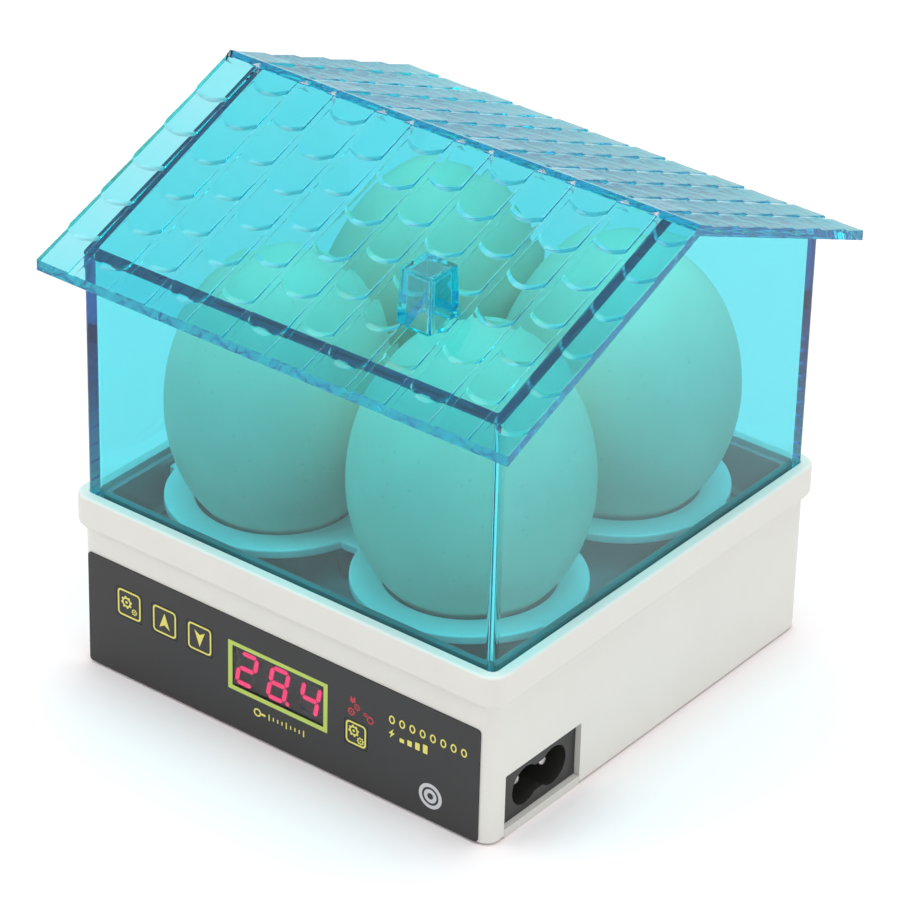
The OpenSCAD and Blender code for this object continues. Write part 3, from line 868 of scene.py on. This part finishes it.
# %% Bottom cover
bottom = merged_copy("bottom_cover")
soften(bottom, outward_edges(bottom, 70, lambda p: p.z < 0.01), 0.2, 2)
make_piece("bottom_plate", bottom, "base", bottom_abs, ["bottom_cover"])

# %% Warm pan
pan_low, pan_high = node_box("chamber_liner")
PAN_T = 1.2
FLOOR_T = 1.5
CHANNEL_OUT, CHANNEL_IN, CHANNEL_DEPTH = 45.0, 43.0, 0.5
PROBE_HOLE_R = 3.0
probe_at = middle("temp_sensor")
pan = plinth(pan_high.x, pan_low.z, pan_high.z, 1.0, 0.25)
pan = cut(pan, plinth(pan_high.x - PAN_T, pan_low.z + FLOOR_T, pan_high.z + 5, 1.0, 0.6))
channel = cut(plinth(CHANNEL_OUT, pan_low.z + FLOOR_T - CHANNEL_DEPTH, pan_low.z + 3, 2.0),
              plinth(CHANNEL_IN, pan_low.z, pan_low.z + 4, 2.0))
pan = cut(pan, channel)
pan = cut(pan, upright(probe_at.x, probe_at.y, pan_low.z - 1, pan_high.z, PROBE_HOLE_R))
make_piece("warm_pan", pan, "base", liner_plastic, ["chamber_liner"])

# %% Egg tray
tray = merged_copy("egg_tray")
soften(tray, outward_edges(tray, 60, lambda p: p.z > pan_high.z - 4), 0.45, 4)
make_piece("ring_tray", tray, "tray", tray_plastic, ["egg_tray"])

# %% Probe and its grommet
grommet_low, grommet_high = node_box("sensor_grommet")
GROMMET_R, NECK_R, COLLAR_R, BORE_R = 6.2, 2.9, 2.4, 1.45
floor_z = pan_low.z + FLOOR_T
grommet = upright(probe_at.x, probe_at.y, floor_z, grommet_high.z, GROMMET_R, 0.45)
grommet = join(grommet, upright(probe_at.x, probe_at.y, grommet_low.z, floor_z + 0.5, NECK_R))
grommet = join(grommet, upright(probe_at.x, probe_at.y, floor_z, grommet_high.z + 0.9, COLLAR_R, 0.3))
grommet = cut(grommet, upright(probe_at.x, probe_at.y, grommet_low.z - 1, grommet_high.z + 2, BORE_R))
make_piece("probe_grommet", grommet, "base", rubber, ["sensor_grommet"])

# %% [markdown]
# ## Eggs
# A hen's egg is a body of revolution, blunter at one end. Its outline is half an ellipse
# below the widest place and a longer half above it. The outline is a chain of edges on that
# curve, and a full spin about the egg's own axis closes it.

# %% Eggs
LOW_SHARE = 29 / 60
OUTLINE_STEPS = 40


def egg(number):
    """One egg, spun on its axis inside its CAD solid's box."""
    low, high = node_box("egg_" + str(number))
    radius = (high.x - low.x) / 2
    axis = (low + high) / 2
    widest = low.z + (high.z - low.z) * LOW_SHARE
    bm = bmesh.new()
    outline = []
    for i in range(OUTLINE_STEPS + 1):
        angle = math.pi * (i / OUTLINE_STEPS - 0.5)
        height = (widest - low.z) if angle < 0 else (high.z - widest)
        outline.append(bm.verts.new((axis.x + radius * math.cos(angle), axis.y,
                                     widest + height * math.sin(angle))))
    chain = [bm.edges.new(pair) for pair in zip(outline, outline[1:])]
    bmesh.ops.spin(bm, geom=outline + chain, cent=axis, axis=(0, 0, 1), dvec=(0, 0, 0),
                   angle=math.tau, steps=80, use_merge=True)
    bmesh.ops.remove_doubles(bm, verts=bm.verts[:], dist=0.01)
    bmesh.ops.recalc_face_normals(bm, faces=bm.faces[:])
    return bm


for number, shell in enumerate(shells, 1):
    make_piece("hens_egg_" + str(number), egg(number), "egg_" + str(number) + "_body",
               shell, ["egg_" + str(number)])


# %% [markdown]
# ## Front film and keys
# A dark printed film covers the front. The four keys are pads of the same film that press in
# by 0.3 mm, so each pad is a piece of its own in a hole of the film, and its print moves
# with it. The prints are screen ink, laid on as real layers 0.03 mm thick with a hair of air
# below them, so that no two faces share a plane.

# %% Film
FACE_Y = film_low.y
INK_T = 0.03
INK_LIFT = 0.002
film = block(film_low, film_high, corner=0.8, axis=1)
soften(film, outward_edges(film, where=lambda p: p.y < FACE_Y + 0.01), 0.06, 2)
window_low, window_high = node_box("display_window")
for node, gap in [("key_" + key, 0.1) for key in KEYS] + [("display_window", 0.0)]:
    low, high = node_box(node)
    grown = Vector((gap, 1, gap))
    film = cut(film, block(low - grown, high + grown, corner=0.5 if gap else 0.0, axis=1))
make_piece("printed_film", film, "base", film_print, ["front_overlay"])

# %% Flat ink shapes
def ink(bm, outer, inner=None, face_y=FACE_Y):
    """A layer of ink from an outline in X and Z, or a ring of it between two outlines."""
    rim = [bm.verts.new((x, face_y - INK_T, z)) for x, z in outer]
    if inner is None:
        sheet = [bm.faces.new(rim)]
    else:
        hole = [bm.verts.new((x, face_y - INK_T, z)) for x, z in inner]
        count = len(rim)
        sheet = [bm.faces.new((rim[i], rim[(i + 1) % count], hole[(i + 1) % count], hole[i]))
                 for i in range(count)]
    grown = bmesh.ops.extrude_face_region(bm, geom=sheet, use_keep_orig=True)["geom"]
    moved = [part for part in grown if isinstance(part, bmesh.types.BMVert)]
    bmesh.ops.translate(bm, vec=(0, INK_T - INK_LIFT, 0), verts=moved)


def print_piece(name, bm, body, material):
    """Finish a print: turn its layers the right way out and let it ride."""
    bmesh.ops.recalc_face_normals(bm, faces=bm.faces[:])
    return make_piece(name, bm, body, material)


def box_points(x, z, width, height, radius, steps=4):
    """The outline of a rectangle with round corners."""
    points = []
    for quarter, (side_x, side_z) in enumerate([(1, 1), (-1, 1), (-1, -1), (1, -1)]):
        for i in range(steps + 1):
            angle = math.pi / 2 * (quarter + i / steps)
            points.append((x + side_x * (width / 2 - radius) + radius * math.cos(angle),
                           z + side_z * (height / 2 - radius) + radius * math.sin(angle)))
    return points


def circle_points(x, z, radius, height=None, count=32):
    """Points round a circle, or round an oval of another height."""
    tall = radius if height is None else height
    turns = [math.tau * (i + 0.5) / count for i in range(count)]
    return [(x + radius * math.cos(a), z + tall * math.sin(a)) for a in turns]


TEETH = 8
TOOTH_ROOT = 0.78


def gear_points(x, z, radius):
    """A gear's outline: each tooth is two points out and two points in."""
    points = []
    for i, (cx, cz) in enumerate(circle_points(0, 0, radius, count=TEETH * 4)):
        reach = 1.0 if i % 4 < 2 else TOOTH_ROOT
        points.append((x + cx * reach, z + cz * reach))
    return points


def gear(bm, x, z, radius):
    """A printed gear: a toothed ring and a dot."""
    ink(bm, gear_points(x, z, radius), circle_points(x, z, radius * 0.55))
    ink(bm, circle_points(x, z, radius * 0.22, count=16))


# %% [markdown]
# ## Key signs
# Each key has a yellow frame with round corners. The first shows a gear for the settings,
# the next two an arrowhead up and down, and the last, smaller one two gears for the mode.

# %% Keys
FRAME_LINE = 0.38
KEY_MARGIN = 0.28


def arrowhead(bm, x, z, way):
    """An arrowhead with a notched tail, pointing up for way 1 and down for way -1."""
    ink(bm, [(x, z + way * 1.9), (x + 1.35, z - way * 1.7), (x, z - way * 0.85),
             (x - 1.35, z - way * 1.7)])


for key in KEYS:
    low, high = node_box("key_" + key)
    x, _, z = middle("key_" + key)
    body = "key_" + key + "_body"
    pad = block(low, high, corner=0.45, axis=1)
    soften(pad, outward_edges(pad, where=lambda p: p.y < FACE_Y + 0.01), 0.05, 2)
    make_piece("pad_" + key, pad, body, film_print, ["key_" + key])
    sign = bmesh.new()
    width, height = high.x - low.x - 2 * KEY_MARGIN, high.z - low.z - 2 * KEY_MARGIN
    ink(sign, box_points(x, z, width, height, 0.9),
        box_points(x, z, width - 2 * FRAME_LINE, height - 2 * FRAME_LINE, 0.6))
    if key == "set":
        gear(sign, x - 0.7, z + 0.3, 1.45)
        gear(sign, x + 1.35, z - 1.3, 0.75)
    elif key == "mode":
        gear(sign, x - 0.55, z + 0.55, 1.35)
        gear(sign, x + 1.15, z - 1.2, 0.9)
    else:
        arrowhead(sign, x, z, 1 if key == "up" else -1)
    print_piece("sign_" + key, sign, body, yellow_ink)


# %% [markdown]
# ## Display
# The module is a black block with three figures of seven bars each, set at a slant, and a
# point. A yellow-green frame is printed round the window. The bars stand behind the window
# pane as thin milky lenses, each with a deeper red glow round it when lit. Numbers are the
# only characters on the panel.

# %% Display frame and window pane
# Each outline is its middle in X and Z, its width and its height.
FRAME = (-0.5, 15.15, 25.3, 11.3)
FRAME_IN = (-0.45, 15.2, 23.2, 9.4)
frame_ink = bmesh.new()
ink(frame_ink, box_points(*FRAME, 0.15), box_points(*FRAME_IN, 0.1))
print_piece("display_frame", frame_ink, "base", green_ink)

pane = block(window_low, window_high)
soften(pane, outward_edges(pane, where=lambda p: p.y < FACE_Y + 0.01), 0.05, 2)
make_piece("window_pane", pane, "base", window_pane, ["display_window"])

module = block(display_low, display_high, edge=0.1, axis=1)
make_piece("display_module", module, "base", display_face, ["led_display"])

# %% Figures
DIGIT_PITCH = 8.0
DIGIT_MID = (-0.58, 15.2)
DIGIT_H, DIGIT_W, BAR_W = 7.1, 4.0, 1.02
BAR_GAP = 0.12
GLOW_MARGIN = 0.2
POINT_R, POINT_GLOW_R = 0.5, 0.68
SLANT = math.tan(math.radians(11))
MODULE_FACE = display_low.y

# Each bar's place in half widths and half heights, and 1 if it stands.
BARS = {"a": (0, 1, 0), "b": (1, 0.5, 1), "c": (1, -0.5, 1), "d": (0, -1, 0), "e": (-1, -0.5, 1),
        "f": (-1, 0.5, 1), "g": (0, 0, 0)}
SHOWN = ["abged", "abcdefg", "fgbc"]


def bar_points(x, place, grow):
    """One bar's six-sided outline; place is across, up and whether it stands."""
    across_share, up_share, stands = place
    mid_x, mid_z = across_share * DIGIT_W / 2, up_share * DIGIT_H / 2
    half = BAR_W / 2 + grow
    reach = (DIGIT_H / 4 if stands else DIGIT_W / 2) - BAR_GAP + grow
    outline = [(reach, 0), (reach - half, half), (half - reach, half), (-reach, 0),
               (half - reach, -half), (reach - half, -half)]
    points = []
    for run, side in outline:
        px, pz = (mid_x + side, mid_z + run) if stands else (mid_x + run, mid_z + side)
        points.append((x + px + pz * SLANT, DIGIT_MID[1] + pz))
    return points


lit, glow, unlit = bmesh.new(), bmesh.new(), bmesh.new()
for number, shown in enumerate(SHOWN):
    x = DIGIT_MID[0] + (number - 1) * DIGIT_PITCH
    for letter, place_of_bar in BARS.items():
        if letter in shown:
            ink(glow, bar_points(x, place_of_bar, GLOW_MARGIN), face_y=MODULE_FACE)
            ink(lit, bar_points(x, place_of_bar, 0.0), face_y=MODULE_FACE - INK_T)
        else:
            ink(unlit, bar_points(x, place_of_bar, 0.0), face_y=MODULE_FACE)
point_x, point_z = DIGIT_MID[0] + DIGIT_W / 2 + 0.35, DIGIT_MID[1] - DIGIT_H / 2
ink(glow, circle_points(point_x, point_z, POINT_GLOW_R), face_y=MODULE_FACE)
ink(lit, circle_points(point_x, point_z, POINT_R), face_y=MODULE_FACE - INK_T)
print_piece("lit_bars", lit, "base", lit_bar)
print_piece("bar_glow", glow, "base", lit_rim)
print_piece("unlit_bars", unlit, "base", unlit_bar)

# %% [markdown]
# ## Small signs
# The real panel also carries words. Plain pictures stand in for them: a thermometer under
# the display, and a row of eggs and a lightning bolt with bars at the right. Three small red
# marks are lit from behind by the two lamps, and a silver disc with a plain ring sits low at
# the right.

# %% Pictures in yellow ink
BULB = (-5.6, 6.7)
FIRST_MARK, MARK_PITCH, MARKS = (-2.6, 6.75), 1.1, 9
LONG_MARK, SHORT_MARK, MARK_W = 1.5, 0.9, 0.28
pictures = bmesh.new()
for i in range(MARKS):
    tall = LONG_MARK if i % 4 == 0 else SHORT_MARK
    ink(pictures, box_points(FIRST_MARK[0] + i * MARK_PITCH, FIRST_MARK[1], MARK_W, tall, 0.1, 2))
ink(pictures, circle_points(*BULB, 0.95), circle_points(*BULB, 0.6))
ink(pictures, box_points(BULB[0] + 1.5, BULB[1], 1.2, 0.5, 0.2, 2))

FIRST_EGG, EGG_PITCH, EGGS = (28.1, 19.6), 2.5, 8
for i in range(EGGS):
    at = (FIRST_EGG[0] + i * EGG_PITCH, FIRST_EGG[1])
    ink(pictures, circle_points(*at, 0.72, 0.95), circle_points(*at, 0.4, 0.62))

BOLT_AT = (28.1, 16.5)
BOLT = [(0.5, 1.2), (-0.75, -0.15), (-0.1, -0.15), (-0.5, -1.2), (0.75, 0.2), (0.1, 0.2)]
ink(pictures, [(BOLT_AT[0] + x, BOLT_AT[1] + z) for x, z in BOLT])

# The power bars stand on one line, and each is taller than the last.
FIRST_BAR, POWER_PITCH, POWER_GROWTH = (30.6, 15.85), 1.9, 0.36
for i in range(4):
    ink(pictures, box_points(FIRST_BAR[0] + i * POWER_PITCH, FIRST_BAR[1] + i * POWER_GROWTH / 2,
                             1.1, 0.9 + i * POWER_GROWTH, 0.15, 2))
print_piece("yellow_pictures", pictures, "base", yellow_ink)

# %% Red marks and silver disc
# Two gears, a flame and two rings, each at its place on the panel in X and Z.
FLAME = [(17.7, 19.6), (18.0, 20.9), (18.4, 20.1), (18.9, 21.0), (19.2, 19.7), (18.4, 19.3)]
marks = bmesh.new()
gear(marks, 18.1, 17.2, 0.95)
gear(marks, 19.5, 18.7, 0.8)
ink(marks, FLAME)
ink(marks, circle_points(21.6, 17.9, 0.45), circle_points(21.6, 17.9, 0.25))
ink(marks, circle_points(22.8, 17.1, 0.85), circle_points(22.8, 17.1, 0.55))
print_piece("red_marks", marks, "base", red_mark)

disc = bmesh.new()
DISC = (37.8, 6.2)
ink(disc, circle_points(*DISC, 2.8, count=48))
print_piece("silver_disc", disc, "base", silver_ink)
ring = bmesh.new()
ink(ring, circle_points(*DISC, 2.0, count=48), circle_points(*DISC, 1.55, count=48), FACE_Y - INK_T)
ink(ring, circle_points(*DISC, 0.7), face_y=FACE_Y - INK_T)
print_piece("disc_ring", ring, "base", film_print)

# %% [markdown]
# ## Mains inlet
# The inlet is a charcoal nylon block with a figure-of-eight mouth for a detachable lead. Its
# CAD copy gets a lead-in round the mouth. The two brass pins end in polished domes, as real
# ones do, so that the plug finds them.

# %% Inlet and pins
inlet = merged_copy("inlet_socket")
soften(inlet, outward_edges(inlet, 50, lambda p: p.x > inlet_high.x - 0.01), 0.3, 3)
make_piece("inlet_block", inlet, "base", inlet_nylon, ["inlet_socket"])

PIN_R, PIN_DOME = 1.18, 0.55
pins_low, pins_high = node_box("inlet_pins")
pins = bmesh.new()
for y in (pins_low.y + PIN_R, pins_high.y - PIN_R):
    z = (pins_low.z + pins_high.z) / 2
    include(pins, rod((pins_low.x, y, z), (pins_high.x, y, z), PIN_R, edge=PIN_DOME))
make_piece("mains_pins", pins, "base", nickel, ["inlet_pins"])

# %% [markdown]
# ## Hidden parts
# The electronics, the wires, the heater and the screws keep their CAD solids, which have the
# right sizes, and take real finishes.

# %% Finishes for the CAD parts
FINISH = {
    zinc: ["cover_screws", "control_board_screws", "power_board_screws"],
    black_nylon: ["stem_set", "stem_up", "stem_down", "stem_mode", "tact_switches", "triac"],
    green_board: ["control_board"], tan_board: ["power_board"], winding_tape: ["transformer"],
    sleeve: ["filter_capacitor"], fuse_glass: ["fuse"], green_nylon: ["terminal_block"],
    red_lens: ["indicator_leds"], brown_wire: ["mains_wires"], red_wire: ["heater_wires"],
    grey_wire: ["sensor_wire", "board_cable"], silicone: ["heater_mat"],
    ceramic: ["thermal_cutout"], probe_steel: ["temp_sensor"]}
for finish, nodes in FINISH.items():
    for node in nodes:
        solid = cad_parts[node].data
        solid.materials.clear()
        solid.materials.append(finish)
print(sum(len(nodes) for nodes in FINISH.values()), "hidden parts have finishes")
